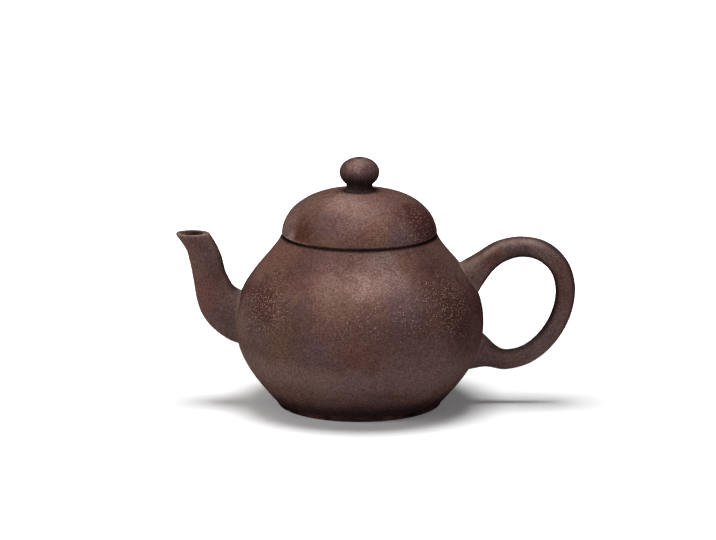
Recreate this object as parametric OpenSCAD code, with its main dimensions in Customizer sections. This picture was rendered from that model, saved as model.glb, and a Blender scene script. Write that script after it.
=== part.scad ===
// Small pear-shaped clay teapot with a loose lid.
// Every piece is a solid of its own, as the potter forms it before luting: wall, base, foot,
// mouth ring, strainer, spout and handle make the pot; dome, seat plate, flange and knob the lid.
// Millimetres, +Z up, spout towards -X, handle towards +X, origin under the middle of the foot.

/* [Body] */
// Height of the lid seat above the table
seat_z = 47.8; // [44:0.2:54]
// Widest outside diameter of the belly
belly_d = 68.6; // [62:0.2:76]
// Height of the widest place
belly_z = 23.5; // [20:0.2:28]
// Thickness of the body wall
wall = 2.6; // [2:0.1:3.4]
// How far the curve climbs above the belly before it turns in
shoulder_pull = 12.4; // [8:0.2:14]
// How far the curve drops below the neck before it turns out
neck_pull = 6.3; // [3:0.1:8]
// How far the neck spreads over that drop
neck_spread = 2.4; // [1:0.2:5]
// How far the curve drops below the belly before it turns in
belly_pull = 9; // [6:0.2:12]
// How far the curve climbs from the base before it turns up
base_pull = 7; // [4:0.2:10]
// How far the curve spreads over that climb
base_spread = 6.4; // [4:0.2:9]

/* [Base and foot] */
// Outside diameter where the wall stands on the foot
base_d = 47; // [44:0.2:50]
// Width of the wall's standing edge, round the base disc
edge_w = 3.5; // [3:0.1:4]
// Thickness of the base disc
disc_t = 2.8; // [2:0.1:4]
// Height of the foot ring
foot_h = 1.7; // [1:0.1:3]
// Width of the foot ring
foot_w = 4.5; // [4:0.1:6]
// How far the foot ring draws in at the table
foot_draft = 0.8; // [0.2:0.1:1.2]
// Rounding of the foot ring's two edges on the table
foot_round = 0.8; // [0.3:0.1:0.9]

/* [Mouth] */
// Diameter of the mouth, which takes the lid's flange
mouth_d = 34; // [31:0.2:38]
// Width of the lid seat, from the mouth out to the neck
seat_w = 4.4; // [4:0.1:5.4]
// Height of the mouth ring
mouth_ring_h = 4; // [3:0.1:6]
// Rounding of the two edges that meet at the lid seam
seam_round = 0.5; // [0.2:0.1:0.8]

/* [Lid] */
// Height of the dome above the lid seat
dome_h = 12.1; // [10:0.1:18]
// Thickness of the dome
dome_wall = 2.4; // [1.8:0.1:3]
// How far the dome's side climbs before it turns in
dome_side_pull = 6.7; // [5:0.1:11]
// How far the dome's top runs out before it turns down
dome_top_pull = 9.8; // [5:0.2:11]
// Width of the dome's rim, outside the seat plate
dome_rim_w = 3.4; // [2.8:0.1:4]
// Thickness of the seat plate inside the rim
seat_plate_t = 2; // [1.4:0.1:3]
// Depth of the flange below the lid seat
flange_depth = 6.5; // [4:0.1:9]
// Thickness of the flange
flange_wall = 2; // [1.5:0.1:2.6]
// Gap all round between flange and mouth
flange_gap = 0.3; // [0.2:0.05:0.6]
// Diameter of the air hole down through knob and dome
air_hole_d = 1.8; // [1.2:0.1:2.6]

/* [Knob] */
// Widest diameter of the knob
knob_d = 11; // [9:0.2:14]
// Height of the knob above its widest place
knob_upper_h = 4.1; // [3:0.1:6]
// Height of the knob from its neck to its widest place
knob_lower_h = 3.3; // [3:0.1:6]
// Diameter of the neck under the knob
knob_neck_d = 7.2; // [5:0.1:8]
// Height of the neck, from dome to knob
knob_neck_h = 1.9; // [0.8:0.1:3]
// Diameter of the neck's foot on the dome
knob_foot_d = 9; // [8.2:0.1:11]

/* [Spout] */
// Height of the level pouring lip
lip_z = 48; // [42:0.2:54]
// Distance of the lip's middle from the belly
lip_reach = 11.8; // [9:0.2:15]
// Height of the middle of the spout's root
spout_root_z = 24.4; // [22:0.2:27]
// Height of the root, up the body
spout_root_h = 15; // [13:0.2:18]
// Width of the root, round the body
spout_root_w = 14; // [11:0.2:16]
// Thickness of the spout half way up
spout_mid_d = 9.4; // [8:0.1:11]
// Thickness of the spout at the lip
spout_lip_d = 7.4; // [6.6:0.1:9]
// Thickness of the spout's wall at the root
spout_wall = 2; // [1.4:0.1:2.4]
// Thickness of the spout's wall at the lip
lip_wall = 1.2; // [0.8:0.1:1.6]

/* [Strainer] */
// Diameter of the passage through the wall behind the spout, which takes the strainer
passage_d = 9.4; // [8:0.2:10.4]
// Thickness of the strainer
strainer_t = 1.3; // [1:0.1:1.6]
// Length of the strainer's collar in the passage
strainer_collar = 1.8; // [1:0.1:2]
// Diameter of the strainer's holes
strainer_hole_d = 1.4; // [1:0.1:1.6]

/* [Handle] */
// Distance of the loop's middle line from the belly, at its furthest
handle_reach = 22.2; // [18:0.5:28]
// Height of the loop's middle line at its top
handle_top_z = 44.1; // [40:0.1:48]
// Height of the loop's middle line at its bottom
handle_low_z = 12.2; // [10:0.2:16]
// Half the width of the loop
loop_half_w = 13.7; // [11:0.2:16]
// How far the loop leans outwards at its top
loop_lean = 2.1; // [0:0.1:3]
// How far the loop's lower outside is drawn in, like an egg
loop_egg = 0.5; // [0:0.1:1]
// Thickness of the handle at its outside
handle_d = 5.3; // [4:0.1:7]
// Step by which the handle thickens towards its roots
handle_swell = 0.3; // [0.1:0.1:0.6]
// Height of the flared roots, up the body
handle_root_h = 11; // [9:0.2:13]
// Width of the flared roots, round the body
handle_root_w = 9; // [7:0.2:11]

/* [Hidden] */
$fn = 96;

clay = "#5b453d";
clay_dark = "#4a3731";
clay_red = "#664a3e";

belly_r = belly_d / 2;
mouth_r = mouth_d / 2;
neck_d = mouth_d + 2 * seat_w;
neck_r = neck_d / 2;
base_r = base_d / 2;
disc_r = base_r - edge_w;
floor_z = foot_h + disc_t;
ring_z = seat_z - mouth_ring_h;
plate_z = seat_z + seat_plate_t;
dome_z = seat_z + dome_h;
plate_r = neck_r - dome_rim_w;
flange_r = mouth_r - flange_gap;
air_r = air_hole_d / 2;
knob_foot_r = knob_foot_d / 2;

curve_steps = 16;   // chords in one stretch of an outline
corner_steps = 4;   // chords in a rounded edge
loft_sides = 24;    // points round a spout or handle section
loft_steps = 4;     // sections between two stations of a spout or handle
past = 5;           // how far a cutting shape runs past what it cuts
snap = 0.05;        // outline points this close to the end of a stretch are left out

// Outlines

// The point at share t of a cubic curve from a to d, drawn towards b and c
function cubic(a, b, c, d, t) =
    pow(1 - t, 3) * a + 3 * t * pow(1 - t, 2) * b + 3 * t * t * (1 - t) * c + pow(t, 3) * d;

function curve(a, b, c, d, steps) = [for (i = [0 : steps]) cubic(a, b, c, d, i / steps)];

function reversed(list) = [for (i = [len(list) - 1 : -1 : 0]) list[i]];

function without_last(list) = [for (i = [0 : len(list) - 2]) list[i]];

// Radius of an outline of [radius, height] points at a height
function radius_at(outline, z) = lookup(z, [for (p = outline) [p.y, p.x]]);

// The stretch of an outline between two heights, with its ends on those heights
function stretch(outline, low, high) = concat(
    [[radius_at(outline, low), low]],
    [for (p = outline) if (p.y > low + snap && p.y < high - snap) p],
    [[radius_at(outline, high), high]]);

function unit(v) = v / norm(v);

function mix(a, b, share) = a + (b - a) * share;

// The same outline, moved in by a thickness
function inset(outline, thickness) = [
    for (i = [0 : len(outline) - 1])
        let (along = unit(outline[min(i + 1, len(outline) - 1)] - outline[max(i - 1, 0)]))
        outline[i] + thickness * [-along.y, along.x]
];

// A rounded corner from a to b
function rounded(a, corner, b) = curve(a, (a + 2 * corner) / 3, (b + 2 * corner) / 3, b, corner_steps);

// Outside of the pot, from the foot up to the lid seat
body_outline = concat(
    without_last(curve(
        [base_r, foot_h],
        [base_r + base_spread, foot_h + base_pull],
        [belly_r, belly_z - belly_pull],
        [belly_r, belly_z], curve_steps)),
    curve(
        [belly_r, belly_z],
        [belly_r, belly_z + shoulder_pull],
        [neck_r + neck_spread, seat_z - neck_pull],
        [neck_r, seat_z], curve_steps));
body_inside = inset(body_outline, wall);

// Outside of the lid, from the seat up to the knob's foot
dome_outline = curve(
    [neck_r, seat_z],
    [neck_r, seat_z + dome_side_pull],
    [knob_foot_r + dome_top_pull, dome_z],
    [knob_foot_r, dome_z], curve_steps);
dome_inside = inset(dome_outline, dome_wall);

// Lofts

// A closed skin over rings of points
module loft(rings) {
    sides = len(rings[0]);
    last = len(rings) - 1;
    points = [for (ring = rings) for (p = ring) p];
    skin = [
        for (i = [0 : last - 1]) for (j = [0 : sides - 1])
            let (k = (j + 1) % sides, a = i * sides, b = a + sides)
            for (f = [[a + j, b + j, b + k], [a + j, b + k, a + k]]) f
    ];
    caps = [
        for (j = [1 : sides - 2])
            for (f = [[0, j, j + 1], [last * sides, last * sides + j + 1, last * sides + j]]) f
    ];
    polyhedron(points, concat(skin, caps));
}

// A smooth run through stations, which are vectors of one length
function through(stations) = [
    for (i = [0 : len(stations) - 2])
        let (a = stations[max(i - 1, 0)], b = stations[i],
             c = stations[i + 1], d = stations[min(i + 2, len(stations) - 1)])
        for (s = [0 : loft_steps - (i < len(stations) - 2 ? 1 : 0)])
            cubic(b, b + (c - a) / 6, c - (d - b) / 6, c, s / loft_steps)
];

// An oval section at a station of [x, z, thickness, width, slant of the thickness]
function section(station, grow) = [
    for (i = [0 : loft_sides - 1])
        let (turn = 360 * i / loft_sides,
             across = (station[2] / 2 + grow) * cos(turn),
             aside = (station[3] / 2 + grow) * sin(turn))
        [station[0] + across * cos(station[4]), aside, station[1] + across * sin(station[4])]
];

// Pot

// All that lies within the outside of the pot
module body_space() {
    rotate_extrude()
        polygon(concat([[0, foot_h]], stretch(body_outline, foot_h, seat_z), [[0, seat_z]]));
}

// The way through the wall behind the spout
module passage() {
    translate([-belly_r - past, 0, spout_root_z])
        rotate([0, 90, 0])
            cylinder(d = passage_d, h = belly_r);
}

module body_wall() {
    color(clay)
        difference() {
            rotate_extrude()
                polygon(concat(
                    stretch(body_outline, foot_h, ring_z),
                    reversed(stretch(body_inside, floor_z, ring_z)),
                    [[disc_r, floor_z], [disc_r, foot_h]]));
            passage();
        }
}

module base_disc() {
    color(clay_dark)
        translate([0, 0, foot_h])
            cylinder(r = disc_r, h = disc_t);
}

module foot_ring() {
    toe_r = base_r - foot_draft;
    heel_r = base_r - foot_w;
    color(clay_dark)
        rotate_extrude()
            polygon(concat(
                rounded([toe_r - foot_round, 0], [toe_r, 0], [toe_r, foot_round]),
                [[base_r, foot_h], [heel_r, foot_h]],
                rounded([heel_r, foot_round], [heel_r, 0], [heel_r + foot_round, 0])));
}

module mouth_ring() {
    shoulder_z = seat_z - seam_round;
    color(clay)
        rotate_extrude()
            polygon(concat(
                without_last(stretch(body_outline, ring_z, shoulder_z)),
                rounded([radius_at(body_outline, shoulder_z), shoulder_z],
                        [neck_r, seat_z], [neck_r - seam_round, seat_z]),
                [[mouth_r, seat_z], [mouth_r, ring_z]]));
}

lip_x = -belly_r - lip_reach;
lip_rise = lip_z - spout_root_z;

// A section of the spout, placed by shares of the way out from the belly and up from the root
function spout_station(out, up, thickness, width, slant) =
    [-belly_r - out * lip_reach, spout_root_z + up * lip_rise, thickness, width, slant];

// The first section lies inside the body and the last one above the lip, so both ends are cut clean
spout_stations = [
    spout_station(-0.47, -0.02, 1.06 * spout_root_h, 1.07 * spout_root_w, 90),
    spout_station(0, 0.02, 0.95 * spout_root_h, 0.96 * spout_root_w, 76),
    spout_station(0.40, 0.19, mix(spout_root_h, spout_mid_d, 0.52), mix(spout_root_w, spout_mid_d, 0.5), 48),
    spout_station(0.58, 0.46, spout_mid_d, 1.04 * spout_mid_d, 14),
    spout_station(0.69, 0.70, mix(spout_mid_d, spout_lip_d, 0.25), mix(spout_mid_d, spout_lip_d, 0.1), 12),
    spout_station(0.85, 0.89, mix(spout_mid_d, spout_lip_d, 0.75), mix(spout_mid_d, spout_lip_d, 0.5), 30),
    spout_station(1.13, 1.08, spout_lip_d, 1.1 * spout_lip_d, 38)
];
spout_run = through(spout_stations);

// Wall of the spout at a section of its run
function spout_wall_at(i) = mix(spout_wall, lip_wall, i / (len(spout_run) - 1));

module spout() {
    color(clay)
        difference() {
            loft([for (s = spout_run) section(s, 0)]);
            loft([for (i = [0 : len(spout_run) - 1]) section(spout_run[i], -spout_wall_at(i))]);
            body_space();
            translate([lip_x, 0, lip_z + past])
                cube([4 * past, 4 * past, 2 * past], center = true);
        }
}

strainer_rows = [[32, 6], [62, 10]];   // slant from the middle hole, and holes in that row

// Half the strainer's outline: a collar in the passage and a round cap behind it
module strainer_outline() {
    cap_r = passage_d / 2;
    difference() {
        union() {
            intersection() {
                circle(r = cap_r);
                square(cap_r);
            }
            translate([0, -strainer_collar])
                square([cap_r, strainer_collar]);
        }
        circle(r = cap_r - strainer_t);
        translate([0, -strainer_collar - past])
            square([cap_r - strainer_t, strainer_collar + past]);
        square([strainer_hole_d / 2, cap_r + past]);
    }
}

module strainer() {
    inside_x = -radius_at(body_inside, spout_root_z);
    color(clay_dark)
        translate([inside_x, 0, spout_root_z])
            rotate([0, 90, 0])
                difference() {
                    rotate_extrude()
                        strainer_outline();
                    for (row = strainer_rows) for (i = [0 : row[1] - 1])
                        rotate([0, row[0], 360 * i / row[1]])
                            translate([0, 0, passage_d / 2 - 1.5 * strainer_t])
                                cylinder(d = strainer_hole_d, h = 2 * strainer_t);
                }
}

loop_x = belly_r + handle_reach - loop_half_w;
loop_z = (handle_top_z + handle_low_z) / 2;
loop_half_h = (handle_top_z - handle_low_z) / 2;

// A section of the handle's loop at a turn round it
function loop_station(turn, extra) =
    let (thickness = handle_d + extra)
    [loop_x + loop_half_w * cos(turn) + loop_lean * sin(turn) + loop_egg * sin(2 * turn),
     loop_z + loop_half_h * sin(turn),
     thickness, thickness,
     atan2(loop_half_w * sin(turn), loop_half_h * cos(turn))];

// A section of a flared root, placed by shares of the way into the belly and up from the loop's middle
function root_station(into, up, flare_h, flare_w, slant) =
    [belly_r - into * handle_reach, loop_z + up * loop_half_h,
     flare_h * handle_root_h, flare_w * handle_root_w, slant];

// Turns round the loop, and how much thicker the handle is there
loop_places = [
    [132, 5 * handle_swell], [112, 3 * handle_swell], [90, 1.5 * handle_swell], [66, 1.5 * handle_swell],
    [40, handle_swell], [14, handle_swell], [-12, 0.5 * handle_swell], [-38, 0], [-64, 0],
    [-90, handle_swell], [-110, 4 * handle_swell]
];
handle_stations = concat(
    [root_station(0.36, 0.22, 1.18, 1.11, 132)],
    [root_station(0.153, 0.52, 0.82, 0.89, 130)],
    [for (place = loop_places) loop_station(place[0], place[1])],
    [root_station(0.117, -0.845, 1.04, 1, -110)],
    [root_station(0.36, -0.785, 1.45, 1.22, -110)]);

module handle() {
    color(clay)
        difference() {
            loft([for (s = through(handle_stations)) section(s, 0)]);
            body_space();
        }
}

// Lid

module lid_dome() {
    rim_z = seat_z + seam_round;
    color(clay_red)
        rotate_extrude()
            polygon(concat(
                rounded([neck_r - seam_round, seat_z],
                        [neck_r, seat_z], [radius_at(dome_outline, rim_z), rim_z]),
                [for (p = dome_outline) if (p.y > rim_z + snap) p],
                [[air_r, dome_z], [air_r, dome_z - dome_wall]],
                reversed([for (p = dome_inside) if (p.y > plate_z + snap) p]),
                [[radius_at(dome_inside, plate_z), plate_z], [plate_r, plate_z], [plate_r, seat_z]]));
}

module lid_seat_plate() {
    color(clay_dark)
        translate([0, 0, seat_z])
            difference() {
                cylinder(r = plate_r, h = seat_plate_t);
                translate([0, 0, -past])
                    cylinder(r = flange_r - flange_wall, h = seat_plate_t + 2 * past);
            }
}

module lid_flange() {
    toe_z = seat_z - flange_depth;
    color(clay_dark)
        rotate_extrude()
            polygon(concat(
                [[flange_r - flange_wall, seat_z], [flange_r - flange_wall, toe_z]],
                rounded([flange_r - seam_round, toe_z], [flange_r, toe_z], [flange_r, toe_z + seam_round]),
                [[flange_r, seat_z]]));
}

module knob() {
    stem_z = dome_z + knob_neck_h;
    wide_z = stem_z + knob_lower_h;
    stem_r = knob_neck_d / 2;
    // The lower part is an ellipse that is cut off where it comes down to the neck
    cut = acos(knob_neck_d / knob_d);
    depth = knob_lower_h / sin(cut);
    color(clay_dark)
        rotate_extrude()
            polygon(concat(
                [[air_r, dome_z]],
                without_last(rounded([knob_foot_r, dome_z], [stem_r, dome_z], [stem_r, stem_z])),
                [for (i = [0 : curve_steps - 1]) let (turn = -cut + cut * i / curve_steps)
                    [knob_d / 2 * cos(turn), wide_z + depth * sin(turn)]],
                [for (i = [0 : curve_steps]) let (turn = acos(air_hole_d / knob_d) * i / curve_steps)
                    [knob_d / 2 * cos(turn), wide_z + knob_upper_h * sin(turn)]]));
}

body_wall();
base_disc();
foot_ring();
mouth_ring();
spout();
strainer();
handle();
lid_dome();
lid_seat_plate();
lid_flange();
knob();
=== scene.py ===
from math import acos, atan2, cos, pi, radians, sin
import bpy
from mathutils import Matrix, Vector


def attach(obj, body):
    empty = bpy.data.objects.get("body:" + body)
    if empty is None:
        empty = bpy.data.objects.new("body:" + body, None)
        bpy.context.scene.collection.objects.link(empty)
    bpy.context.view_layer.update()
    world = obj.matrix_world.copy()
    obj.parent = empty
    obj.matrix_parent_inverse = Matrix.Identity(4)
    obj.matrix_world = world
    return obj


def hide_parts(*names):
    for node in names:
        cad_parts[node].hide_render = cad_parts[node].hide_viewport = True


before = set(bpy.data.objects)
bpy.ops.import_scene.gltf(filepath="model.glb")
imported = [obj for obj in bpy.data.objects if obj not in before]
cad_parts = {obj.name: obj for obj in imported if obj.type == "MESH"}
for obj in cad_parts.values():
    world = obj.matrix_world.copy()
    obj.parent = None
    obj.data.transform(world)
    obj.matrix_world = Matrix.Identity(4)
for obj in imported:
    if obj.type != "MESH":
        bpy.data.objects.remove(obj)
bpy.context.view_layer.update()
print("frame loaded:", ", ".join(sorted(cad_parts)))

mm = 0.001
scene = bpy.context.scene
tiny = {"cut": 0.001, "merge": 0.002, "step": 0.004, "near": 0.1}  # tolerances in mm


# small helpers for modelling by operators

def deselectAll():
    if bpy.context.object and bpy.context.object.mode != "OBJECT":
        bpy.ops.object.mode_set(mode="OBJECT")
    bpy.ops.object.select_all(action="DESELECT")


def useOnly(piece):
    deselectAll()
    piece.select_set(True)
    bpy.context.view_layer.objects.active = piece


def editAll(piece):
    useOnly(piece)
    bpy.ops.object.mode_set(mode="EDIT")
    bpy.ops.mesh.select_all(action="SELECT")


def pickFaces(piece, wanted):
    # wanted gets the corners of a face, in mm
    bpy.ops.mesh.select_mode(type="FACE")
    bpy.ops.mesh.select_all(action="DESELECT")
    bpy.ops.object.mode_set(mode="OBJECT")
    points = [v.co / mm for v in piece.data.vertices]
    for face in piece.data.polygons:
        face.select = wanted([points[i] for i in face.vertices])
    bpy.ops.object.mode_set(mode="EDIT")


def applyModifier(piece, kind, **settings):
    useOnly(piece)
    bpy.ops.object.modifier_add(type=kind)
    modifier = piece.modifiers[-1]
    for key, value in settings.items():
        setattr(modifier, key, value)
    bpy.ops.object.modifier_apply(modifier=modifier.name)


def cleanShell():
    bpy.ops.mesh.select_all(action="SELECT")
    bpy.ops.mesh.remove_doubles(threshold=tiny["merge"] * mm)
    bpy.ops.mesh.select_all(action="SELECT")
    bpy.ops.mesh.normals_make_consistent(inside=False)
    bpy.ops.object.mode_set(mode="OBJECT")


def smooth(piece, angle=35):
    useOnly(piece)
    bpy.ops.object.shade_smooth_by_angle(angle=radians(angle))


# outlines are lists of (radius, height) in mm

def cubic(a, b, c, d, steps):
    a, b, c, d = Vector(a), Vector(b), Vector(c), Vector(d)
    line = []
    for i in range(steps + 1):
        t = i / steps
        s = 1 - t
        line.append(a * s ** 3 + b * (3 * t * s * s) + c * (3 * t * t * s) + d * t ** 3)
    return line


def inset(line, wall):
    moved = []
    for i, p in enumerate(line):
        along = (line[min(i + 1, len(line) - 1)] - line[max(i - 1, 0)]).normalized()
        moved.append(p + wall * Vector((-along.y, along.x)))
    return moved


def radiusAt(line, z):
    for p, q in zip(line, line[1:]):
        if p.y <= z <= q.y:
            return p.x + (q.x - p.x) * (z - p.y) / (q.y - p.y)
    return line[0].x if z < line[0].y else line[-1].x


def stretch(line, low, high):
    # a point close to each end keeps the shading true up to the joint
    near = tiny["near"]
    ends = [low, low + near, high - near, high]
    between = [p for p in line if low + 2 * near < p.y < high - 2 * near]
    onLine = [Vector((radiusAt(line, z), z)) for z in ends]
    return onLine[:2] + between + onLine[2:]


def corner(a, tip, b, steps=6):
    a, tip, b = Vector(a), Vector(tip), Vector(b)
    return cubic(a, (a + 2 * tip) / 3, (b + 2 * tip) / 3, b, steps)


def turnPiece(name, outline, turns=160):
    # a point is drawn out along the outline, then the line is spun
    deselectAll()
    bpy.ops.mesh.primitive_plane_add(size=mm, location=(0, 0, 0))
    piece = bpy.context.object
    piece.name = piece.data.name = name
    bpy.ops.object.mode_set(mode="EDIT")
    bpy.ops.mesh.select_mode(type="VERT")
    bpy.ops.mesh.select_all(action="SELECT")
    bpy.ops.mesh.merge(type="CENTER")
    here = Vector((0, 0))
    for i, p in enumerate(outline):
        there = Vector(p)
        step = ((there.x - here.x) * mm, 0, (there.y - here.y) * mm)
        if i == 0:
            bpy.ops.transform.translate(value=step)
        elif (there - here).length > tiny["step"]:
            bpy.ops.mesh.extrude_vertices_move(TRANSFORM_OT_translate={"value": step})
        else:
            continue
        here = there
    bpy.ops.mesh.select_all(action="SELECT")
    bpy.ops.mesh.spin(steps=turns, angle=2 * pi, center=(0, 0, 0), axis=(0, 0, 1))
    cleanShell()
    return piece


# swept pieces run through stations of x, z, thickness, width, slant, in mm and degrees

def through(stations, steps):
    run = []
    last = len(stations) - 1
    for i in range(last):
        a, b = Vector(stations[max(i - 1, 0)]), Vector(stations[i])
        c, d = Vector(stations[i + 1]), Vector(stations[min(i + 2, last)])
        part = cubic(b, b + (c - a) / 6, c - (d - b) / 6, c, steps)
        run += part if i == last - 1 else part[:-1]
    return run


def drawSweep(name, run, sides):
    # a disc is pulled along the run, turned and sized at every step
    deselectAll()
    x, z, thick, wide, slant = run[0]
    centre = Vector((x, 0, z)) * mm
    bpy.ops.mesh.primitive_circle_add(vertices=sides, radius=mm, fill_type="NGON")
    piece = bpy.context.object
    piece.name = piece.data.name = name
    bpy.ops.object.mode_set(mode="EDIT")
    bpy.ops.mesh.select_mode(type="VERT")
    bpy.ops.mesh.select_all(action="SELECT")
    bpy.ops.transform.rotate(value=radians(slant), orient_axis="Y", center_override=(0, 0, 0))
    bpy.ops.transform.resize(value=(thick / 2, wide / 2, thick / 2), center_override=(0, 0, 0))
    bpy.ops.transform.translate(value=centre)
    for before, now in zip(run, run[1:]):
        x, z, thick, wide, slant = now
        centre = Vector((x, 0, z)) * mm
        step = centre - Vector((before[0], 0, before[1])) * mm
        bpy.ops.mesh.extrude_region_move(TRANSFORM_OT_translate={"value": step})
        bpy.ops.transform.rotate(value=radians(slant - before[4]), orient_axis="Y", center_override=centre)
        grow = thick / before[2]
        bpy.ops.transform.resize(value=(grow, wide / before[3], grow), center_override=centre)
    cleanShell()
    return piece


print("helpers ready")


# the pot's turned pieces

pot = {
    "baseR": 23.5, "bellyR": 34.3, "bellyZ": 23.5, "neckR": 21.4, "seatZ": 47.8,
    "baseTo": (29.9, 8.7), "bellyFrom": 14.5, "bellyTo": 35.9, "neckFrom": (23.8, 41.5),  # pulls on the curve
    "footH": 1.7, "discR": 20, "floorZ": 4.5, "wall": 2.6, "topZ": 43.8,
    "passageR": 4.7, "passageZ": 24.4, "drillLong": 8, "drillSides": 64, "rootSink": 0.06,
    "lowSteps": 40, "highSteps": 44,
}
belly = (pot["bellyR"], pot["bellyZ"])
potLine = cubic((pot["baseR"], pot["footH"]), pot["baseTo"],
                (pot["bellyR"], pot["bellyFrom"]), belly, pot["lowSteps"])[:-1]
potLine += cubic(belly, (pot["bellyR"], pot["bellyTo"]),
                 pot["neckFrom"], (pot["neckR"], pot["seatZ"]), pot["highSteps"])
potInside = inset(potLine, pot["wall"])


def makePotWall():
    outer = stretch(potLine, pot["footH"], pot["topZ"])
    inner = stretch(potInside[::2], pot["floorZ"], pot["topZ"])
    disc = [Vector((pot["discR"], pot["floorZ"])), Vector((pot["discR"], pot["footH"]))]
    wall = turnPiece("potWall", outer + inner[::-1] + disc + outer[:1])
    # the passage behind the spout
    deselectAll()
    bpy.ops.mesh.primitive_cylinder_add(
        vertices=pot["drillSides"], radius=pot["passageR"] * mm, depth=pot["drillLong"] * mm,
        location=(-pot["bellyR"] * mm, 0, pot["passageZ"] * mm), rotation=(0, pi / 2, 0))
    drill = bpy.context.object
    applyModifier(wall, "BOOLEAN", operation="DIFFERENCE", solver="EXACT", object=drill)
    bpy.data.objects.remove(drill)
    return wall


ring = {"boreR": 17, "boreEdge": 0.4, "edge": 0.45, "ledge": 1.1, "ledgeLow": 0.3}


def makeMouthRing():
    seat, edge, boreR, boreEdge = pot["seatZ"], ring["edge"], ring["boreR"], ring["boreEdge"]
    step, low = pot["neckR"] - ring["ledge"], seat - ring["ledgeLow"]
    outer = stretch(potLine, pot["topZ"], low - edge)
    outer += corner(outer[-1], (radiusAt(potLine, low), low), (pot["neckR"] - edge, low))
    outer += [Vector((step, low)), Vector((step, seat))]  # the shadow line under the lid's edge
    bore = corner((boreR + boreEdge, seat), (boreR, seat), (boreR, seat - boreEdge))
    return turnPiece("mouthRing", outer + bore + [Vector((boreR, pot["topZ"])), outer[0]])


foot = {"toeR": 22.7, "heelR": 19, "round": 0.8}


def makeFootRing():
    toe, heel, edge = foot["toeR"], foot["heelR"], foot["round"]
    line = corner((toe - edge, 0), (toe, 0), (toe, edge))
    line += [Vector((pot["baseR"], pot["footH"])), Vector((heel, pot["footH"]))]
    line += corner((heel, edge), (heel, 0), (heel + edge, 0))
    return turnPiece("footRing", line + line[:1])


# the lid's turned pieces

dome = {
    "topZ": 59.9, "topR": 4.5, "riseZ": 54.5, "crownR": 14.3, "wall": 2.4,
    "edge": 0.5, "ledgeHigh": 0.15, "airR": 0.9, "steps": 48,
}
domeLine = cubic((pot["neckR"], pot["seatZ"]), (pot["neckR"], dome["riseZ"]),
                 (dome["crownR"], dome["topZ"]), (dome["topR"], dome["topZ"]), dome["steps"])
domeInside = inset(domeLine, dome["wall"])


def makeLidDome():
    seat, edge, air, plateZ = pot["seatZ"], dome["edge"], dome["airR"], plate["topZ"]
    step, lowZ = pot["neckR"] - ring["ledge"], seat + dome["ledgeHigh"]
    rimZ = lowZ + edge
    line = [Vector((step, seat)), Vector((step, lowZ))]
    line += corner((pot["neckR"] - edge, lowZ), (pot["neckR"], lowZ), (radiusAt(domeLine, rimZ), rimZ))
    line += [p for p in domeLine if p.y > rimZ + tiny["near"]]
    line += [Vector((air, dome["topZ"])), Vector((air, dome["topZ"] - dome["wall"]))]
    line += [p for p in domeInside[::-2] if p.y > plateZ + tiny["near"]]
    line += [Vector((radiusAt(domeInside, plateZ), plateZ))]
    line += [Vector((plate["outR"], plateZ)), Vector((plate["outR"], seat))]
    return turnPiece("lidDome", line + line[:1])


plate = {"outR": 18, "topZ": 49.8, "edge": 0.5}


def makeLidSeat():
    seat, top, edge = pot["seatZ"], plate["topZ"], plate["edge"]
    inner = flange["outR"] - flange["wall"]
    line = [Vector((plate["outR"], seat)), Vector((plate["outR"], top))]
    line += corner((inner + edge, top), (inner, top), (inner, top - edge))
    line += [Vector((inner, seat))]
    return turnPiece("lidSeat", line + line[:1])


flange = {"outR": 16.7, "wall": 2, "toeZ": 41.3, "edge": 0.6}


def makeLidFlange():
    seat, toe, outer, edge = pot["seatZ"], flange["toeZ"], flange["outR"], flange["edge"]
    inner = outer - flange["wall"]
    line = [Vector((inner, seat))]
    line += corner((inner, toe + edge), (inner, toe), (inner + edge, toe))
    line += corner((outer - edge, toe), (outer, toe), (outer, toe + edge))
    line += [Vector((outer, seat))]
    return turnPiece("lidFlange", line + line[:1])


knob = {
    "stemR": 3.6, "stemH": 1.9, "ballR": 5.5, "lowH": 3.3, "highH": 4.1,
    "holeEdge": 0.35, "holeTip": (0.05, 0.03), "holeDeep": 0.5, "lowSteps": 24, "highSteps": 28, "turns": 96,
}


def makeKnob():
    air, baseZ, ball = dome["airR"], dome["topZ"], knob["ballR"]
    lowSteps, highSteps = knob["lowSteps"], knob["highSteps"]
    stemZ = baseZ + knob["stemH"]
    wideZ = stemZ + knob["lowH"]
    cut = acos(knob["stemR"] / ball)
    depth = knob["lowH"] / sin(cut)
    end = acos((air + knob["holeEdge"]) / ball)
    line = corner((dome["topR"], baseZ), (knob["stemR"], baseZ), (knob["stemR"], stemZ), 10)[:-1]
    for i in range(lowSteps):
        turn = -cut + cut * i / lowSteps
        line.append(Vector((ball * cos(turn), wideZ + depth * sin(turn))))
    for i in range(highSteps + 1):
        turn = end * i / highSteps
        line.append(Vector((ball * cos(turn), wideZ + knob["highH"] * sin(turn))))
    # soft edge of the air hole
    top = line[-1]
    tipR, tipZ = knob["holeTip"]
    line += corner(top, (air + tipR, top.y + tipZ), (air, top.y - knob["holeDeep"]), 5)[1:]
    line += [Vector((air, baseZ))]
    return turnPiece("knobBall", line + line[:1], knob["turns"])


# spout and handle are pulled through the same stations as the solids

def mix(a, b, share):
    return a + (b - a) * share


def cutToPot(piece):
    # a core a hair smaller than the pot lets the root sink into the wall's skin
    core = inset(potLine, pot["rootSink"])
    core = turnPiece("potCore", [Vector((0, pot["footH"]))] + core + [Vector((0, core[-1].y))])
    applyModifier(piece, "BOOLEAN", operation="DIFFERENCE", solver="EXACT", object=core)
    bpy.data.objects.remove(core)


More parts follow.
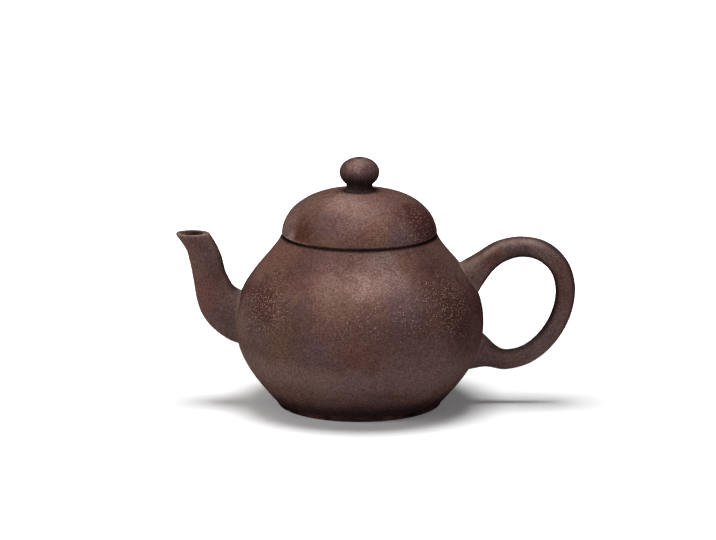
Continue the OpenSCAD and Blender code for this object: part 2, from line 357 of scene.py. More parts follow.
spout = {
    "rootZ": 24.4, "rootH": 15, "rootW": 14, "midD": 9.4, "lipD": 7.4,
    "lipZ": 48, "lipReach": 11.8, "rootWall": 2, "lipWall": 1.2, "lipEdge": 0.3,
    "sides": 56, "steps": 9, "overrun": 2, "merge": 0.03, "lipSlack": 0.025,
}


def spoutRun():
    s = spout
    rise = s["lipZ"] - s["rootZ"]
    # shares of the reach and of the rise, then thickness, width and slant
    rows = [
        (-0.47, -0.02, 1.06 * s["rootH"], 1.07 * s["rootW"], 90),
        (0, 0.02, 0.95 * s["rootH"], 0.96 * s["rootW"], 76),
        (0.40, 0.19, mix(s["rootH"], s["midD"], 0.52), mix(s["rootW"], s["midD"], 0.5), 48),
        (0.58, 0.46, s["midD"], 1.04 * s["midD"], 14),
        (0.69, 0.70, mix(s["midD"], s["lipD"], 0.25), mix(s["midD"], s["lipD"], 0.1), 12),
        (0.85, 0.89, mix(s["midD"], s["lipD"], 0.75), mix(s["midD"], s["lipD"], 0.5), 30),
        (1.13, 1.08, s["lipD"], 1.1 * s["lipD"], 38),
    ]
    stations = [(-pot["bellyR"] - out * s["lipReach"], s["rootZ"] + up * rise, thick, wide, slant)
                for out, up, thick, wide, slant in rows]
    return through(stations, s["steps"])


def makeSpout():
    run = spoutRun()
    lip = spout["lipZ"]
    bore = []
    for i, (x, z, thick, wide, slant) in enumerate(run):
        wall = 2 * mix(spout["rootWall"], spout["lipWall"], i / (len(run) - 1))
        bore.append((x, z, thick - wall, wide - wall, slant))
    x, z, thick, wide, slant = bore[0]
    bore.insert(0, (x + spout["overrun"], z, thick, wide, slant))  # past the root, so that the channel opens there
    piece = drawSweep("spoutShell", run, spout["sides"])
    editAll(piece)
    bpy.ops.mesh.bisect(plane_co=(0, 0, lip * mm), plane_no=(0, 0, 1),
                        clear_outer=True, use_fill=True, threshold=tiny["cut"] * mm)
    cleanShell()
    channel = drawSweep("channel", bore, spout["sides"])
    applyModifier(piece, "BOOLEAN", operation="DIFFERENCE", solver="EXACT", object=channel)
    bpy.data.objects.remove(channel)
    # both edges of the pouring lip are wiped round
    editAll(piece)
    bpy.ops.mesh.remove_doubles(threshold=spout["merge"] * mm)
    pickFaces(piece, lambda corners: min(p.z for p in corners) > lip - spout["lipSlack"])
    bpy.ops.mesh.region_to_loop()
    bpy.ops.mesh.bevel(offset=spout["lipEdge"] * mm, segments=3, affect="EDGES")
    cleanShell()
    cutToPot(piece)
    return piece


handle = {
    "reach": 22.2, "topZ": 44.1, "lowZ": 12.2, "halfW": 13.7, "lean": 2.1, "egg": 0.5,
    "d": 5.3, "swell": 0.3, "rootH": 11, "rootW": 9, "sides": 48, "steps": 7,
}


def handleRun():
    h = handle
    midX = pot["bellyR"] + h["reach"] - h["halfW"]
    midZ, halfH = (h["topZ"] + h["lowZ"]) / 2, (h["topZ"] - h["lowZ"]) / 2

    def root(into, up, tall, wide, slant):
        return (pot["bellyR"] - into * h["reach"], midZ + up * halfH, tall * h["rootH"], wide * h["rootW"], slant)

    def loop(turn, swells):
        t = radians(turn)
        thick = h["d"] + swells * h["swell"]
        slant = atan2(h["halfW"] * sin(t), halfH * cos(t)) * 180 / pi
        return (midX + h["halfW"] * cos(t) + h["lean"] * sin(t) + h["egg"] * sin(2 * t),
                midZ + halfH * sin(t), thick, thick, slant)

    # angle round the loop, and how many swells thicker it is there
    places = [(132, 5), (112, 3), (90, 1.5), (66, 1.5), (40, 1), (14, 1), (-12, 0.5),
              (-38, 0), (-64, 0), (-90, 1), (-110, 4)]
    stations = [root(0.36, 0.22, 1.18, 1.11, 132), root(0.153, 0.52, 0.82, 0.89, 130)]
    stations += [loop(turn, swells) for turn, swells in places]
    stations += [root(0.117, -0.845, 1.04, 1, -110), root(0.36, -0.785, 1.45, 1.22, -110)]
    return through(stations, h["steps"])


def makeHandle():
    piece = drawSweep("handleLoop", handleRun(), handle["sides"])
    cutToPot(piece)
    return piece


potWall = makePotWall()
mouthRing = makeMouthRing()
footRing = makeFootRing()
print("pot turned")
lidDome = makeLidDome()
lidSeat = makeLidSeat()
lidFlange = makeLidFlange()
knobBall = makeKnob()
print("lid turned")
spoutShell = makeSpout()
handleLoop = makeHandle()
print("spout and handle pulled")


# slow unevenness left by the hand, kept off the seams; each pair is where it starts and where it is full, in mm

hand = {
    "size": 9, "depth": 0.14, "level": 0.8, "skin": 0.3,
    "foot": (2, 6), "seat": (0.8, 3), "seam": (0.2, 2), "stem": (5, 8), "root": (9, 15),
    "roots": [(-33, 0, 24), (31, 0, 36), (33, 0, 13)],
}


def fade(value, low, high):
    share = min(max((value - low) / (high - low), 0), 1)
    return share * share * (3 - 2 * share)


def fromAxis(p):
    return (p.x ** 2 + p.y ** 2) ** 0.5


def potFree(p):
    if fromAxis(p) <= radiusAt(potLine, p.z) - hand["skin"]:
        return 0
    share = fade(p.z, *hand["foot"]) * fade(pot["seatZ"] - p.z, *hand["seat"])
    share *= fade(abs(p.z - pot["topZ"]), *hand["seam"])
    for root in hand["roots"]:
        share *= fade((p - Vector(root)).length, *hand["root"])
    return share


def domeFree(p):
    if fromAxis(p) <= radiusAt(domeLine, p.z) - hand["skin"]:
        return 0
    return fade(p.z - pot["seatZ"], *hand["seat"]) * fade(fromAxis(p), *hand["stem"])


def handWaver(piece, free):
    clouds = bpy.data.textures.get("handWaver") or bpy.data.textures.new("handWaver", "CLOUDS")
    clouds.noise_scale = hand["size"] * mm
    group = piece.vertex_groups.new(name="free")
    for v in piece.data.vertices:
        group.add([v.index], free(v.co / mm), "REPLACE")
    applyModifier(piece, "DISPLACE", texture=clouds, texture_coords="LOCAL", mid_level=hand["level"],
                  strength=hand["depth"] * mm, vertex_group="free")
    piece.vertex_groups.clear()


for piece in (potWall, mouthRing):
    handWaver(piece, potFree)
handWaver(lidDome, domeFree)
print("hand unevenness given")


# the mark goes up to 1 for pale rubbing and for painted highlight, and down to -1 for painted shade
# pairs are again where a mark starts and where it is full

jointWear = (0.1, 0.9)
spoutWearShading = {
    "joint": 0.5, "lip": 0.8, "lipDepth": (0.5, 0.15), "lipFront": (-0.5, 1.5),
    "paintedShade": 0.85, "shadeSide": (0.36, 0.5), "shadeFrom": (0.4, 2),
}
handleWearShading = {
    "upperJoint": 0.8, "lowerJoint": 0.3, "between": 25, "topZ": (37, 42), "topEndX": (47, 54),
    "ridge": 0.75, "ridgeWide": 0.28, "ridgeOut": (0.2, 0.5), "edge": 0.95, "innerFrom": (0.5, 0.1),
    "innerLow": 0.6, "innerZ": (13, 22), "outerFrom": (0.5, 0.8), "outerTop": 0.6, "outerFar": 0.9,
    "outerX": (46, 53), "outerZ": (10, 24), "shadeFrom": (1, 4),
}
lidWearHighlight = {"edgeZ": (0.5, 1.0), "edgeR": (20.4, 20.9), "least": 0.15, "more": 0.8, "spoutSide": (11, 18)}
spoutLine, handleLine = spoutRun(), handleRun()


def potGap(p):
    return fromAxis(p) - radiusAt(potLine, p.z)


def nearest(line, p):
    return min(line, key=lambda s: (s[0] - p.x) ** 2 + (s[1] - p.z) ** 2)


def spoutWearShadingAt(p):
    w = spoutWearShading
    joint = w["joint"] * (1 - fade(potGap(p), *jointWear))
    # pale on the front of the lip only: partly rubbing, partly painted light on its lit front edge
    lipStart, lipFull = (spout["lipZ"] - depth for depth in w["lipDepth"])
    lip = w["lip"] * fade(p.z, lipStart, lipFull) * fade(-p.y, *w["lipFront"])
    # painted shade along the side of the spout that faces the pot
    x, z, thick = nearest(spoutLine, p)[:3]
    paintedShade = w["paintedShade"] * fade((p.x - x) / thick, *w["shadeSide"]) * fade(potGap(p), *w["shadeFrom"])
    return max(joint, lip) or -paintedShade


def handleWearShadingAt(p):
    w = handleWearShading
    joint = w["upperJoint"] if p.z > w["between"] else w["lowerJoint"]
    joint *= 1 - fade(potGap(p), *jointWear)
    x, z, thick, wide, slant = nearest(handleLine, p)
    turn = radians(slant)
    out = 2 * ((p.x - x) * cos(turn) + (p.z - z) * sin(turn)) / thick  # -1 inside the loop, 1 outside
    high = fade(p.z, *w["topZ"]) * (1 - fade(p.x, *w["topEndX"]))
    # a painted highlight along the ridge on top of the loop
    ridge = max(0, 1 - abs(2 * abs(p.y) / wide - w["ridge"]) / w["ridgeWide"])
    ridgeHighlight = high * fade(out, *w["ridgeOut"]) * ridge
    # painted shade along the inner and outer edges of the tube
    inner = fade(-out, mix(*w["innerFrom"], high), w["edge"]) * mix(w["innerLow"], 1, fade(p.z, *w["innerZ"]))
    outer = fade(out, mix(*w["outerFrom"], high), w["edge"]) * fade(p.z, *w["outerZ"])
    outer *= mix(w["outerTop"], w["outerFar"], fade(p.x, *w["outerX"]))
    return joint or ridgeHighlight - max(inner, outer) * fade(potGap(p), *w["shadeFrom"])


def lidWearHighlightAt(p):
    w = lidWearHighlight
    # pale along the lid's lower rim: a little all round as rubbing, much more on the spout side as a painted
    # highlight of the lit edge
    edge = (1 - fade(p.z - pot["seatZ"], *w["edgeZ"])) * fade(fromAxis(p), *w["edgeR"])
    return edge * (w["least"] + w["more"] * fade(-p.x, *w["spoutSide"]))


def markWearAndShading(piece, share):
    layer = piece.data.attributes.new("wearAndShading", "FLOAT", "POINT")
    for v in piece.data.vertices:
        layer.data[v.index].value = share(v.co / mm)


markWearAndShading(spoutShell, spoutWearShadingAt)
markWearAndShading(handleLoop, handleWearShadingAt)
markWearAndShading(lidDome, lidWearHighlightAt)
print("wear marked")

pieces = {
    "potWall": (potWall, "pot", "body_wall", "clay_body"),
    "mouthRing": (mouthRing, "pot", "mouth_ring", "clay_body"),
    "footRing": (footRing, "pot", "foot_ring", "clay_foot"),
    "spoutShell": (spoutShell, "pot", "spout", "clay_body"),
    "handleLoop": (handleLoop, "pot", "handle", "clay_body"),
    "lidDome": (lidDome, "lid", "lid_dome", "clay_lid"),
    "lidSeat": (lidSeat, "lid", "lid_seat_plate", "clay_inside"),
    "lidFlange": (lidFlange, "lid", "lid_flange", "clay_inside"),
    "knobBall": (knobBall, "lid", "knob", "clay_lid"),
}
for name, (piece, body, node, slot) in pieces.items():
    smooth(piece)
    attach(piece, body)
    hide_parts(node)
    print(name, len(piece.data.vertices), "points")


# small helpers for shader nodes

def linear(c):
    # screen value, 0 to 255, to the linear one that shaders take
    return c / 255 / 12.92 if c < 11 else ((c / 255 + 0.055) / 1.055) ** 2.4


def tint(r, g, b):
    return (linear(r), linear(g), linear(b), 1)


def put(tree, kind, takes=None, **settings):
    # takes are links where they come from another node, otherwise plain values
    node = tree.nodes.new("ShaderNode" + kind)
    for key, value in settings.items():
        setattr(node, key, value)
    for key, value in (takes or {}).items():
        if isinstance(value, bpy.types.NodeSocket):
            tree.links.new(value, node.inputs[key])
        else:
            node.inputs[key].default_value = value
    return node


def calc(tree, what, a, b=0.0):
    return put(tree, "Math", {0: a, 1: b}, operation=what).outputs[0]


def remap(tree, value, low, high, toLow=0.0, toHigh=1.0):
    takes = {"Value": value, "From Min": low, "From Max": high, "To Min": toLow, "To Max": toHigh}
    return put(tree, "MapRange", takes, interpolation_type="SMOOTHSTEP").outputs[0]


def blendColour(tree, share, a, b, how="MIX"):
    return put(tree, "Mix", {0: share, 6: a, 7: b}, data_type="RGBA", blend_type=how).outputs[2]


def noise(tree, where, size, detail=2.0, rough=0.5, swirl=0.0):
    # size is the width of one blotch in mm
    takes = {"Vector": where, "Scale": 1 / (size * mm), "Detail": detail, "Roughness": rough, "Distortion": swirl}
    return put(tree, "TexNoise", takes).outputs[0]


def moved(tree, where, step):
    return put(tree, "VectorMath", {0: where, 1: [c * mm for c in step]}, operation="ADD").outputs[0]


def newGroup(name, takes, gives):
    group = bpy.data.node_groups.new(name, "ShaderNodeTree")
    for label, kind in takes.items():
        group.interface.new_socket(label, in_out="INPUT", socket_type="NodeSocket" + kind)
    for label, kind in gives.items():
        group.interface.new_socket(label, in_out="OUTPUT", socket_type="NodeSocket" + kind)
    return group, group.nodes.new("NodeGroupInput").outputs, group.nodes.new("NodeGroupOutput").inputs


# slow drift between the tints that the fire leaves in one clay; sizes and shifts in mm

drift = {
    "Ochre": {"size": 16, "shift": (0, 0, 0), "from": 0.46, "full": 0.72, "most": 0.6},
    "Rust": {"size": 13, "shift": (70, 10, 30), "from": 0.46, "full": 0.72, "most": 0.5},
    "Violet": {"size": 11, "shift": (20, 90, 50), "from": 0.46, "full": 0.70, "most": 0.55},
}
mottle = {"size": 3.2, "dark": 0.94, "pale": 1.06}

clayDrift, has, gives = newGroup(
    "clayDrift", {"Vector": "Vector", "Clay": "Color", **{label: "Color" for label in drift}}, {"Colour": "Color"})
where = has["Vector"]
colour = has["Clay"]
for label, d in drift.items():
    cloud = noise(clayDrift, moved(clayDrift, where, d["shift"]), d["size"], 2, 0.5, 0.8)
    colour = blendColour(clayDrift, remap(clayDrift, cloud, d["from"], d["full"], 0, d["most"]), colour, has[label])
small = remap(clayDrift, noise(clayDrift, where, mottle["size"], 3, 0.6), 0.3, 0.7, mottle["dark"], mottle["pale"])
colour = blendColour(clayDrift, 1.0, colour, small, "MULTIPLY")
clayDrift.links.new(colour, gives["Colour"])


# sand in the clay: fine shade, pale grains and the rough skin they make

sand = {
    "fine": 0.42, "fineShare": 0.85, "mid": 1.2, "midShare": 0.15, "shade": (0.62, 1.38),
    "cell": 0.42, "grain": (0.18, 0.34), "bright": (0.4, 1), "sparse": 0.35, "dense": 0.6, "stand": 0.35,
}

sandGrain, has, gives = newGroup(
    "sandGrain", {"Vector": "Vector", "Density": "Float"},
    {"Shade": "Float", "Speck": "Float", "Height": "Float"})
where = has["Vector"]
fine = calc(sandGrain, "MULTIPLY", noise(sandGrain, where, sand["fine"], 2, 0.6), sand["fineShare"])
mid = calc(sandGrain, "MULTIPLY", noise(sandGrain, where, sand["mid"], 3, 0.6), sand["midShare"])
skin = calc(sandGrain, "ADD", fine, mid)
sandGrain.links.new(remap(sandGrain, skin, 0.34, 0.66, *sand["shade"]), gives["Shade"])
cells = put(sandGrain, "TexVoronoi", {"Vector": where, "Scale": 1 / (sand["cell"] * mm)})
draw = put(sandGrain, "SeparateColor", {0: cells.outputs["Color"]}).outputs  # three chances for each grain
chosen = calc(sandGrain, "LESS_THAN", draw[0], has["Density"])
grainSize = remap(sandGrain, draw[1], 0, 1, *sand["grain"])
dot = calc(sandGrain, "LESS_THAN", cells.outputs["Distance"], grainSize)
bright = remap(sandGrain, draw[2], 0, 1, *sand["bright"])
bright = calc(sandGrain, "MULTIPLY", bright, remap(sandGrain, has["Density"], 0, sand["dense"], sand["sparse"], 1))
speck = calc(sandGrain, "MULTIPLY", calc(sandGrain, "MULTIPLY", dot, chosen), bright)
sandGrain.links.new(speck, gives["Speck"])
height = calc(sandGrain, "ADD", skin, calc(sandGrain, "MULTIPLY", speck, sand["stand"]))
sandGrain.links.new(height, gives["Height"])


# one blush with a cloudy border, at a fixed place on the piece; full and gone are shares of its reach

border = {"size": 6, "stray": 0.4, "full": 0.2, "gone": 1.15}

blush, has, gives = newGroup(
    "blush", {"Vector": "Vector", "Centre": "Vector", "Reach": "Float"}, {"Mask": "Float"})
span = put(blush, "VectorMath", {0: has["Vector"], 1: has["Centre"]}, operation="DISTANCE").outputs["Value"]
ragged = noise(blush, has["Vector"], border["size"], 5, 0.65, 0.9)
ragged = remap(blush, ragged, 0.2, 0.8, -border["stray"], border["stray"])
span = calc(blush, "ADD", calc(blush, "DIVIDE", span, has["Reach"]), ragged)
blush.links.new(remap(blush, span, border["full"], border["gone"], 1, 0), gives["Mask"])


# pale rubbing with painted highlight, and painted shade, where the piece carries the mark

wearAndShadingMarks, has, gives = newGroup("wearAndShadingMarks", {"Vector": "Vector"}, {"WearAndSheen": "Float", "ShadeMark": "Float"})
mark = put(wearAndShadingMarks, "Attribute", attribute_name="wearAndShading").outputs["Fac"]
broken = remap(wearAndShadingMarks, noise(wearAndShadingMarks, has["Vector"], 1.6, 3, 0.7), 0.3, 0.65, 0.25, 1)
wearAndShadingMarks.links.new(calc(wearAndShadingMarks, "MULTIPLY", calc(wearAndShadingMarks, "MAXIMUM", mark, 0), broken), gives["WearAndSheen"])
wearAndShadingMarks.links.new(calc(wearAndShadingMarks, "MAXIMUM", calc(wearAndShadingMarks, "MULTIPLY", mark, -1), 0), gives["ShadeMark"])
print("clay effects ready")


# one clay finish: drift, blushes and belts (some of them painted highlight and painted shade), sand, rubbing with
# painted highlight and shade, then the shader

tints = {
    "clay": tint(88, 65, 59), "ochre": tint(97, 72, 58), "rust": tint(97, 64, 57),
    "violet": tint(86, 66, 66), "maroon": tint(62, 36, 36), "grey": tint(104, 85, 80),
    "orange": tint(74, 45, 34), "dark": tint(46, 32, 31), "olive": tint(97, 76, 63),
    "pale": tint(122, 98, 90), "tan": tint(106, 84, 79), "ash": tint(66, 52, 49),
    "umber": tint(32, 22, 21), "drab": tint(96, 77, 73), "speck": tint(198, 170, 145),
    "wearAndShading": tint(150, 128, 116),
}
finish = {
    "speck": 0.75, "paintedShade": 0.8, "wearAndShading": 0.75,  # strongest share of each
    "smoother": 0.08, "rougher": 0.1, "grainDepth": 0.16,
    "shine": 0.0,  # fully matte: gloss would veil the dark edges under the white room
}


def makeClay(name, look):
    material = bpy.data.materials.new(name)
    material.use_nodes = True
    tree = material.node_tree
    shader = tree.nodes["Principled BSDF"]
    where = put(tree, "TexCoord").outputs["Object"]

    def group(which, takes):
        return put(tree, "Group", takes, node_tree=which).outputs

    def spot(centre, reach):
        takes = {"Vector": where, "Centre": [c * mm for c in centre], "Reach": reach * mm}
        return group(blush, takes)["Mask"]

    def share(mask, most):
        return calc(tree, "MULTIPLY", mask, most)

    colour = group(clayDrift, {
        "Vector": moved(tree, where, look["from"]), "Clay": tints[look["clay"]],
        "Ochre": tints["ochre"], "Rust": tints["rust"], "Violet": tints["violet"]})["Colour"]
    for centre, reach, which, most in look.get("blushes", []):
        colour = blendColour(tree, share(spot(centre, reach), most), colour, tints[which])

    height = put(tree, "SeparateXYZ", {0: where}).outputs["Z"]
    level = put(tree, "VectorMath", {0: where, 1: (1, 1, 0)}, operation="MULTIPLY").outputs["Vector"]
    radius = put(tree, "VectorMath", {0: level}, operation="LENGTH").outputs["Value"]
    for middle, full, gone, which, most, stray, inside in look.get("belts", []):
        ragged = remap(tree, noise(tree, where, 5, 3, 0.6, 0.5), 0.2, 0.8, -stray * mm, stray * mm)
        off = calc(tree, "ABSOLUTE", calc(tree, "SUBTRACT", height, middle * mm))
        off = calc(tree, "MAXIMUM", off, calc(tree, "SUBTRACT", inside * mm, radius))
        mask = remap(tree, calc(tree, "ADD", off, ragged), full * mm, gone * mm, most, 0)
        colour = blendColour(tree, mask, colour, tints[which])

    density = None
    for centre, reach, most in look.get("sandy", []):
        more = share(spot(centre, reach), most)
        density = calc(tree, "MAXIMUM", density, more) if density else more
    density = calc(tree, "ADD", density, look["sand"]) if density else look["sand"]
    grains = group(sandGrain, {"Vector": where, "Density": density})
    colour = blendColour(tree, look.get("grain", 1), colour, grains["Shade"], "MULTIPLY")
    colour = blendColour(tree, share(grains["Speck"], finish["speck"]), colour, tints["speck"])

    marks = group(wearAndShadingMarks, {"Vector": where})
    # painted shade from the mark, then the pale of rubbing and of painted highlight over it
    colour = blendColour(tree, share(marks["ShadeMark"], finish["paintedShade"]), colour, tints["umber"])
    colour = blendColour(tree, share(marks["WearAndSheen"], finish["wearAndShading"]), colour, tints["wearAndShading"])
    tree.links.new(colour, shader.inputs["Base Color"])

    low, high = look["rough"] - finish["smoother"], look["rough"] + finish["rougher"]
    tree.links.new(remap(tree, grains["Height"], 0.3, 0.8, low, high), shader.inputs["Roughness"])
    bump = put(tree, "Bump", {
        "Height": grains["Height"], "Strength": look["bump"], "Distance": finish["grainDepth"] * mm})
    tree.links.new(bump.outputs[0], shader.inputs["Normal"])
    shader.inputs["Specular IOR Level"].default_value = finish["shine"]
    return material


# blushes: centre, reach, tint, strength; most are tints the fire left, some are painted highlight and painted shade
# belts: height, half width that is full, half width where it ends, tint, strength, stray, least radius
# sandy: centre, reach, share of grains; all lengths in mm

potLook = {
    "from": (0, 0, 0), "clay": "clay", "rough": 0.55, "bump": 0.9, "sand": 0.015,
    "belts": [
        # the dark belt at the bottom is painted shade near the floor; the tan belt low on the belly is painted
        # light thrown up from the floor
        (0, 2.5, 7.5, "dark", 0.95, 0.8, 0), (13.5, 1, 6, "tan", 0.8, 1.5, 0),
        # painted shade of the seam's gap under the lid's edge
        (47.8, 0.4, 0.9, "umber", 0.9, 0.12, 20.9),
    ],
    "blushes": [
        # front
        # the three pale blushes high on the front shoulder are a painted highlight
        ((2, -28, 39.5), 7, "pale", 0.8), ((-7, -28, 39), 6, "pale", 0.5),
        ((9, -26.5, 39.5), 6.5, "pale", 0.75), ((0.5, -33, 19), 9, "rust", 0.45),
        ((11, -31, 17), 9, "tan", 0.6), ((14, -30, 27), 8, "maroon", 0.3),
        ((12, -29, 34), 8, "violet", 0.8), ((-7, -31, 36), 7, "olive", 0.6),
        # the maroon ones towards the left are partly the clay's tint and partly painted shade where the side turns
        # from the light; the dark one at the left edge beside the spout is painted shade
        ((-27, -17, 34), 10, "maroon", 0.75), ((-18, -28.5, 29.5), 8, "dark", 0.33),
        ((-33.5, -4, 28), 7, "dark", 0.4), ((-33, -8, 32), 8, "maroon", 0.7),
        ((-28, -19, 29), 8, "maroon", 0.4), ((-17, -19, 43), 8, "maroon", 0.4),
        ((-10, -32, 20), 7, "violet", 0.7), ((-29, -18, 22), 8, "violet", 0.6),
        # the maroon ones at the right side are partly the clay's tint and partly painted shade on the side away
        # from the light
        ((5, -22, 44), 6, "grey", 0.7), ((27, -20, 30), 13, "maroon", 0.78),
        ((33, -7, 31), 9, "maroon", 0.7), ((20, -18, 43), 9, "maroon", 0.55),
        ((-32, -10, 25), 8, "tan", 0.6), ((20, -26, 15), 12, "tan", 0.8),
        # back
        ((8, 32, 22), 11, "rust", 0.8), ((-14, 28, 33), 10, "violet", 0.7),
        ((18, 25, 36), 9, "olive", 0.7), ((-22, 24, 18), 9, "maroon", 0.5),
        ((0, 27, 40), 8, "pale", 0.4),
    ],
    "sandy": [
        ((-27, -19, 32), 12, 1.0), ((3, -33, 30.5), 11, 0.32), ((25, -21, 32), 12, 1.0),
        ((15, -29, 31), 9, 0.5), ((12, 31, 30), 12, 0.8), ((-22, 24, 30), 11, 0.9),
    ],
}
spoutLook = {
    "from": (110, 0, 40), "clay": "drab", "rough": 0.55, "bump": 0.8, "sand": 0.03, "grain": 0.85,
    "blushes": [
        ((-42, -5, 32), 9, "rust", 0.7), ((-36, -5, 24), 7, "violet", 0.6), ((-46, -3, 44), 5, "rust", 0.5),
    ],
}
handleLook = {
    "from": (0, 130, 60), "clay": "grey", "rough": 0.55, "bump": 0.8, "sand": 0.03, "grain": 0.85,
    "blushes": [
        ((31, -4, 37.5), 6, "pale", 0.7), ((30.5, -5, 35), 4, "olive", 0.6),
        # the pale pair on the top of the loop is a painted highlight, the dark one below them painted shade on the
        # lower half of the tube
        ((35.5, -3, 42.5), 5, "rust", 0.6), ((41, -2, 47.5), 4, "pale", 0.6),
        ((46, -2, 47), 4, "pale", 0.6), ((44, -2.5, 42.5), 4.5, "dark", 0.4),
        ((36, -3, 12), 9, "violet", 0.6), ((57, -2, 33), 10, "rust", 0.6),
    ],
}
lidLook = {
    "from": (60, 60, 0), "clay": "clay", "rough": 0.55, "bump": 0.9, "sand": 0.02,
    # painted shade of the seam's gap under the lid's edge
    "belts": [(47.8, 0.2, 0.7, "umber", 0.85, 0.1, 20.9)],
    "blushes": [
        # front
        # the pale ones at the front and on top of the dome are a painted highlight, and the small pale patch low on
        # the left of the rim is a painted highlight on its lit edge
        ((0, -13, 56), 9, "pale", 0.6), ((-16, -13.5, 50.5), 6, "orange", 0.9),
        ((-18.8, -10.2, 48.4), 2.4, "wearAndShading", 0.6), ((19, -10, 52), 12, "maroon", 1.0),
        ((5, -20, 51), 5, "ochre", 0.7), ((-7, -17, 54), 6, "violet", 0.6),
        ((-12, -16, 53), 6, "dark", 0.12), ((0, -20, 50.5), 6, "dark", 0.12),
        ((11, -17, 50), 6, "violet", 0.7), ((-5, -9, 58.5), 7, "pale", 0.7),
        ((-20, -6, 51), 6, "tan", 0.7),
        # back
        ((6, 15, 55), 9, "rust", 0.7), ((-12, 14, 52), 8, "violet", 0.6),
    ],
    "sandy": [((17, -13, 51.5), 9, 0.75), ((8, -18, 53), 7, 0.3), ((-4, -17, 54), 7, 0.2)],
}
knobLook = {
    "from": (10, 40, 90), "clay": "ash", "rough": 0.5, "bump": 1.0, "sand": 0.03,
    # the dark belt round the stem is painted shade under the ball, the lighter ring at its foot painted light where
    # it faces up, and the pale blush on top a painted highlight
    "belts": [(61, 2, 5, "umber", 0.85, 0.5, 0), (60.1, 0.25, 0.7, "ash", 0.8, 0.1, 0)],
    "blushes": [((0, -3.5, 67.8), 3.5, "pale", 0.85)],
}
# the foot ring's very dark tint is painted contact shadow
footLook = {"from": (0, 0, 20), "clay": "umber", "rough": 0.6, "bump": 0.8, "sand": 0.02}
insideLook = {"from": (50, 0, 80), "clay": "clay", "rough": 0.65, "bump": 0.9, "sand": 0.06}

finishes = {
    "potClay": (potLook, [potWall, mouthRing]), "spoutClay": (spoutLook, [spoutShell]),
    "handleClay": (handleLook, [handleLoop]), "lidClay": (lidLook, [lidDome]), "knobClay": (knobLook, [knobBall]),
    "footClay": (footLook, [footRing]), "insideClay": (insideLook, [lidSeat, lidFlange]),
}
for name, (look, users) in finishes.items():
    clay = makeClay(name, look)
    for piece in users:
        piece.data.materials.clear()
        piece.data.materials.append(clay)
for node in ("base_disc", "strainer"):  # these keep their solids and only take the clay
    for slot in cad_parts[node].material_slots:
        slot.material = bpy.data.materials["insideClay"]
print("clays mixed")


# studio: pale floor that glows away from the pot, white room, soft light, camera

stage = {
    "floor": 6.0, "drop": 0.02, "floorColour": 0.92, "bounce": 0.45,
    "paperFrom": 75, "paperTo": 140, "paperLow": 0.1, "dim": 0.03,
}


def seenDirectly(tree):
    rays = put(tree, "LightPath").outputs
    seen = calc(tree, "MAXIMUM", rays["Is Camera Ray"], rays["Is Glossy Ray"])
    return calc(tree, "MAXIMUM", seen, rays["Is Transmission Ray"])


deselectAll()
bpy.ops.mesh.primitive_plane_add(size=stage["floor"], location=(0, 0, -stage["drop"] * mm))
floor = bpy.context.object
floor.name = "paperFloor"
paper = bpy.data.materials.new("paper")
paper.use_nodes = True
tree = paper.node_tree
tree.nodes.clear()
seen = seenDirectly(tree)
away = put(tree, "VectorMath", {0: put(tree, "TexCoord").outputs["Object"]}, operation="LENGTH").outputs["Value"]
glow = remap(tree, away, stage["paperFrom"] * mm, stage["paperTo"] * mm, stage["paperLow"], 1)
glow = calc(tree, "MULTIPLY", seen, glow)
level = remap(tree, seen, 0, 1, stage["bounce"], stage["floorColour"])
flat = put(tree, "BsdfDiffuse", {"Color": put(tree, "CombineColor", {0: level, 1: level, 2: level}).outputs[0]})
light = put(tree, "Emission", {"Strength": glow})
both = put(tree, "AddShader", {0: flat.outputs[0], 1: light.outputs[0]})
put(tree, "OutputMaterial", {"Surface": both.outputs[0]})
floor.data.materials.append(paper)

room = bpy.data.worlds.new("whiteRoom")
scene.world = room
room.use_nodes = True
tree = room.node_tree
tree.nodes.clear()
dim = put(tree, "Background", {"Strength": stage["dim"]})
white = put(tree, "Background", {"Color": (1, 1, 1, 1), "Strength": 1.0})
either = put(tree, "MixShader", {0: seenDirectly(tree), 1: dim.outputs[0], 2: white.outputs[0]})
put(tree, "OutputWorld", {"Surface": either.outputs[0]})
print("floor and room set")

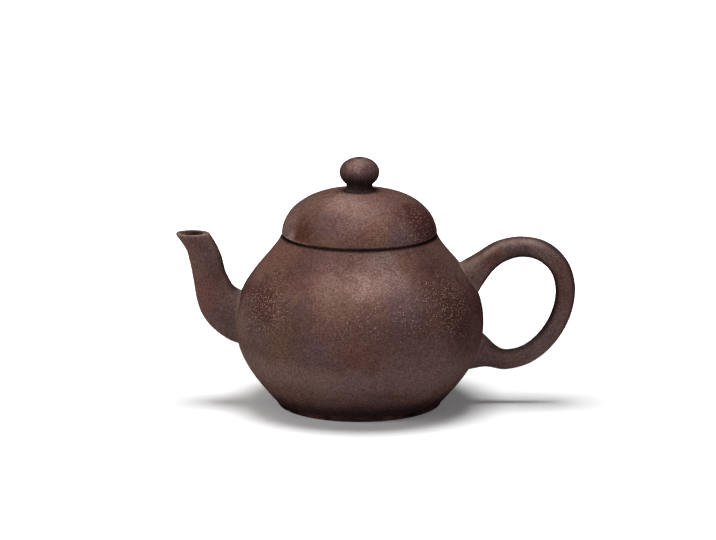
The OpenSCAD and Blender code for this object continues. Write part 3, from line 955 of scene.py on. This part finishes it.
# place and size in metres, power in watts; a lamp with a cone is a narrow spot for one highlight
lamps = {
    "topMid": {"at": (0, 0.01, 0.90), "size": (0.45, 0.4), "power": 7.8, "colour": (1, 1, 1)},
    "topLeft": {"at": (-0.35, 0.06, 0.85), "size": (0.45, 0.4), "power": 1.0, "colour": (1, 0.98, 0.95)},
    "leftFill": {"at": (-0.80, -0.25, 0.22), "size": (0.4, 0.3), "power": 4.2, "colour": (1, 1, 1)},
    "frontFill": {"at": (0.30, -0.85, 0.07), "size": (0.6, 0.1), "power": 2.7, "colour": (0.95, 0.89, 1)},
    "lidSnoot": {"at": (0, -0.30, 0.46), "cone": 4.6, "power": 5.0, "colour": (1, 1, 1),
                 "aim": (0.005, -0.014, 0.0545)},
    "leftSnoot": {"at": (-0.02, -0.32, 0.44), "cone": 2.8, "power": 6.8, "colour": (1, 1, 1),
                  "aim": (-0.007, -0.0285, 0.0385)},
    "rightSnoot": {"at": (0.02, -0.32, 0.44), "cone": 2.8, "power": 6.3, "colour": (1, 1, 1),
                   "aim": (0.0105, -0.0275, 0.0385)},
}
potMiddle = (0, 0, 0.03)
snoot = {"blend": 1, "bulb": 0.01}

for name, lamp in lamps.items():
    place = Vector(lamp["at"])
    turn = (Vector(lamp.get("aim", potMiddle)) - place).to_track_quat("-Z", "Y").to_euler()
    bpy.ops.object.light_add(type="SPOT" if "cone" in lamp else "AREA", location=place, rotation=turn)
    light = bpy.context.object
    light.name = name
    light.data.energy = lamp["power"]
    light.data.color = lamp["colour"]
    if "cone" in lamp:
        light.data.spot_size, light.data.spot_blend = radians(lamp["cone"]), snoot["blend"]
        light.data.shadow_soft_size = snoot["bulb"]
    else:
        light.data.shape = "RECTANGLE"
        light.data.size, light.data.size_y = lamp["size"]

# the camera stands in front and looks slightly down; lengths in mm
view = {"aim": (-0.4, 0, 37.5), "elevation": 12.7, "away": 1100, "lens": 200.6, "sensor": 36}
tilt = radians(view["elevation"])
eye = (Vector(view["aim"]) + view["away"] * Vector((0, -cos(tilt), sin(tilt)))) * mm
bpy.ops.object.camera_add(location=eye, rotation=(pi / 2 - tilt, 0, 0))
camera = bpy.context.object
camera.data.lens = view["lens"]
camera.data.sensor_width = view["sensor"]
scene.camera = camera
scene.view_settings.view_transform = "Standard"
print("studio lit")
